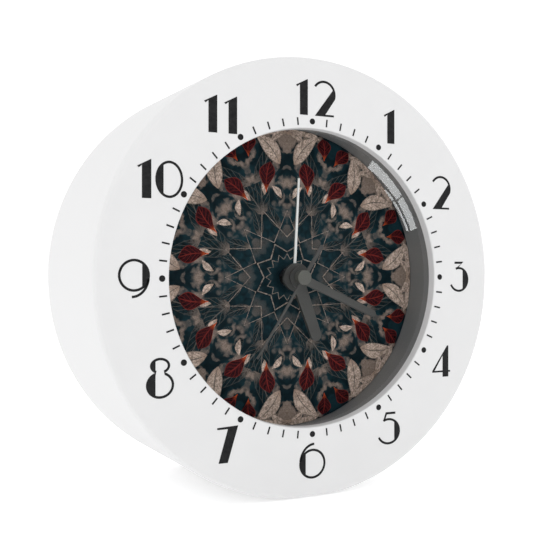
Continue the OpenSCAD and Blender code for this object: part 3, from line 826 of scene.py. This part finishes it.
def star(solid, points, inner, outer, line, layer, turned):
    """A zigzag line round the centre."""
    angles = [turned + i * 180 / points for i in range(2 * points)]
    radii = [outer, inner] * points
    edge = [polar(r + line, a) for r, a in zip(radii, angles)]
    core = [polar(r, a) for r, a in zip(radii, angles)]
    near = CARD_DEPTH - PRINT_LAYER * layer
    solid.ribbon(edge, core, near, CARD_DEPTH + PRINT_LAYER, closed=True)


def print_dial():
    """A rosette of leaves, mirrored eight times round the dial, and four stars of lines."""
    red = leaf_look(
        "red_leaf",
        dark=(0.008, 0.002, 0.004),
        light=(0.060, 0.007, 0.010),
        base=(0.85, 0.13, 0.025),
        vein=(0.27, 0.028, 0.020),
        veins=6,
        edge=0.9,
    )
    pale = leaf_look(
        "pale_leaf",
        dark=(0.30, 0.225, 0.185),
        light=(0.78, 0.61, 0.51),
        base=(0.36, 0.25, 0.19),
        vein=(0.04, 0.04, 0.04),
        veins=9,
        edge=0.9,
    )
    dark = leaf_look(
        "dark_leaf",
        dark=(0.002, 0.008, 0.011),
        light=(0.010, 0.030, 0.038),
        base=(0.20, 0.155, 0.13),
        vein=(0.16, 0.14, 0.125),
        veins=6,
        edge=0.4,
    )
    lines = line_look()
    half_wedge = 180 / FOLDS

    dark_leaves = Solid()
    for stalk, tip, half_width, bend, layer, turned in (
        ((17.0, 22.0), (27.5, 14.5), 2.2, 0.5, 1, 0),
        ((12.5, 8.5), (19.5, 16.0), 1.3, 0.4, 2, 0),
        ((20.5, 1.5), (21.5, 9.5), 1.2, 0.3, 3, 0),
        ((25.0, 1.5), (35.0, 15.0), 2.0, 0.8, 4, half_wedge),
    ):
        leaves(dark_leaves, stalk, tip, half_width, bend, layer, swell=0.8, turned=turned)
    dark_leaves.piece("dial_dark_leaves", dark)

    pale_leaves = Solid()
    for stalk, tip, half_width, bend, layer, swell in (
        ((21.5, 17.0), (25.5, 12.5), 0.9, 0.3, 5, 1.0),
        ((20.0, 4.5), (23.3, 10.5), 0.8, -0.4, 6, 1.0),
        ((28.6, 4.0), (37.0, 14.0), 2.1, -0.9, 8, 0.8),
        ((36.2, -1.0), (36.4, 15.0), 1.5, -1.6, 7, 1.0),
        ((36.4, 1.0), (34.6, 7.5), 0.9, -0.6, 9, 1.0),
    ):
        leaves(pale_leaves, stalk, tip, half_width, bend, layer, swell)
    pale_leaves.piece("dial_pale_leaves", pale)

    red_leaves = Solid()
    for stalk, tip, half_width, bend, layer in (
        ((22.0, 15.2), (29.4, 9.4), 2.1, 0.5, 11),
        ((31.8, 19.6), (37.0, 16.0), 1.9, 0.4, 10),
    ):
        leaves(red_leaves, stalk, tip, half_width, bend, layer, swell=1.6)
    red_leaves.piece("dial_red_leaves", red)

    star_lines = Solid()
    for points, inner, outer, line, layer, turned in (
        (2 * FOLDS, 4.7, 6.1, 0.25, 12, 0),
        (FOLDS, 6.6, 9.2, 0.32, 13, half_wedge),
        (FOLDS, 10.6, 19.0, 0.26, 14, half_wedge),
        (FOLDS, 9.8, 17.6, 0.22, 15, 0),
    ):
        star(star_lines, points, inner, outer, line, layer, turned)
    star_lines.piece("dial_star_lines", lines)


# ---------------------------------------------------------------- lens


def revolve(profile, count):
    """Vertices and faces of a closed ring or disc from radius and depth pairs."""
    vertices = []
    for radius, depth in profile:
        for i in range(count):
            x, up = polar(radius, i * 360 / count)
            vertices.append(face_point(x, up, depth))
    faces = []
    for ring in range(len(profile) - 1):
        for i in range(count):
            a, b = ring * count + i, ring * count + (i + 1) % count
            faces.append([a, b, b + count, a + count])
    last = (len(profile) - 1) * count
    faces.append(list(range(count - 1, -1, -1)))
    faces.append([last + i for i in range(count)])
    return vertices, faces


def add_lens():
    """The clear lens, with a small bevel round both faces."""
    bevel = 0.15
    points_round = 120
    near, far = LENS_DEPTH, LENS_DEPTH + LENS_T
    profile = [
        (LENS_R - bevel, near),
        (LENS_R, near + bevel),
        (LENS_R, far - bevel),
        (LENS_R - bevel, far),
    ]
    vertices, faces = revolve(profile, points_round)
    front_face = len(faces) - 2
    solid = Solid()
    solid.add(vertices, faces)
    front, rest = lens_looks()
    lens = solid.piece("clear_lens", front)
    lens.data.materials.append(rest)
    for face in lens.data.polygons:
        face.material_index = 0 if face.index == front_face else 1
    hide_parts("lens")


# ---------------------------------------------------------------- stage


def camera_place():
    """Where the camera stands, in metres."""
    return face_point(0, 0, 0) + CAMERA_RADII * FACE_R * MM


def add_camera():
    """The photograph's viewpoint, level and a little to the left."""
    data = bpy.data.cameras.new("camera")
    data.lens = CAMERA_LENS
    data.clip_start = 0.01
    camera = bpy.data.objects.new("camera", data)
    camera.location = camera_place()
    camera.rotation_euler = (math.radians(90 + CAMERA_PITCH), 0, math.radians(-CAMERA_YAW))
    bpy.context.scene.collection.objects.link(camera)
    bpy.context.scene.camera = camera


def mirrored(spot, away):
    """Where a lamp must stand, at a distance, for the camera to see it in the lens at a spot."""
    eye = camera_place()
    plane = FACE_Y + LENS_DEPTH * MM
    share = (plane - eye.y) / (spot.y - eye.y)
    on_lens = eye + (spot - eye) * share
    onward = (on_lens - eye).normalized()
    return on_lens + Vector((onward.x, -onward.y, onward.z)) * away


def lamp_shape(name, rows, material):
    """A stage surface that only mirrors can see, from rows of points."""
    wide = len(rows[0])
    vertices = [spot for row in rows for spot in row]
    faces = []
    for row in range(len(rows) - 1):
        for column in range(wide - 1):
            a = row * wide + column
            faces.append([a, a + 1, a + wide + 1, a + wide])
    mesh = bpy.data.meshes.new(name)
    mesh.from_pydata(vertices, [], faces)
    mesh.materials.append(material)
    made = bpy.data.objects.new(name, mesh)
    made.visible_camera = False
    made.visible_diffuse = False
    made.visible_shadow = False
    made.visible_transmission = False
    bpy.context.scene.collection.objects.link(made)


def add_window():
    """Four bright panes that the lens mirrors near its rim, before a dark card."""
    pane_away, card_away = 0.4, 0.72
    pane_steps = 12
    card_reach = 1.6 * LENS_R
    glow = glow_look("window_glow", (0.97, 1.0, 1.0), WINDOW_STRENGTH)
    panes = {
        "upper_outer": ((32, 52.4), (33.7, 36.6)),
        "lower_outer": ((53.2, 68.5), (33.7, 36.6)),
        "upper_inner": ((45, 51.4), (32.4, 33.1)),
        "lower_inner": ((52.3, 68), (32.4, 33.1)),
    }
    for name, (angles, radii) in panes.items():
        rows = []
        for angle in steps(*angles, pane_steps):
            edge = [polar(radius, angle) for radius in radii]
            rows.append([mirrored(face_point(x, up, LENS_DEPTH), pane_away) for x, up in edge])
        lamp_shape("window_" + name, rows, glow)
    card = glow_look("dark_card", (0.01, 0.01, 0.01), 0.0)
    rows = []
    just_behind = LENS_DEPTH + 0.01
    for up in (-card_reach, card_reach):
        spots = [face_point(x, up, just_behind) for x in (-card_reach, card_reach)]
        rows.append([mirrored(spot, card_away) for spot in spots])
    lamp_shape("dark_card", rows, card)


def add_floor():
    """The white table that the clock stands on."""
    reach = 6.0
    mesh = bpy.data.meshes.new("table_top")
    corners = [(-reach, -reach, 0), (reach, -reach, 0), (reach, reach, 0), (-reach, reach, 0)]
    mesh.from_pydata(corners, [], [(0, 1, 2, 3)])
    mesh.materials.append(floor_look())
    floor = bpy.data.objects.new("table_top", mesh)
    floor.visible_glossy = False
    bpy.context.scene.collection.objects.link(floor)


def add_light(name, place, size, watts):
    """A soft square lamp aimed at the clock."""
    data = bpy.data.lights.new(name, "AREA")
    data.size = size
    data.energy = watts
    lamp = bpy.data.objects.new(name, data)
    lamp.location = place
    target = face_point(0, 0, 0)
    lamp.rotation_euler = (target - Vector(place)).to_track_quat("-Z", "Y").to_euler()
    lamp.visible_camera = False
    lamp.visible_glossy = False
    bpy.context.scene.collection.objects.link(lamp)


def light_stage():
    """Even white surroundings, and one soft lamp from the upper left."""
    world = bpy.data.worlds.new("studio")
    world.use_nodes = True
    sky = world.node_tree.nodes["Background"]
    sky.inputs["Color"].default_value = (1, 1, 1, 1)
    sky.inputs["Strength"].default_value = SKY_STRENGTH
    bpy.context.scene.world = world
    bpy.context.scene.view_settings.view_transform = "Standard"
    add_light("top_left_lamp", (-0.7, 0.35, 1.0), size=0.8, watts=1.0)


dress_nodes()
print_face()
print_dial()
add_lens()
add_floor()
add_window()
light_stage()
add_camera()
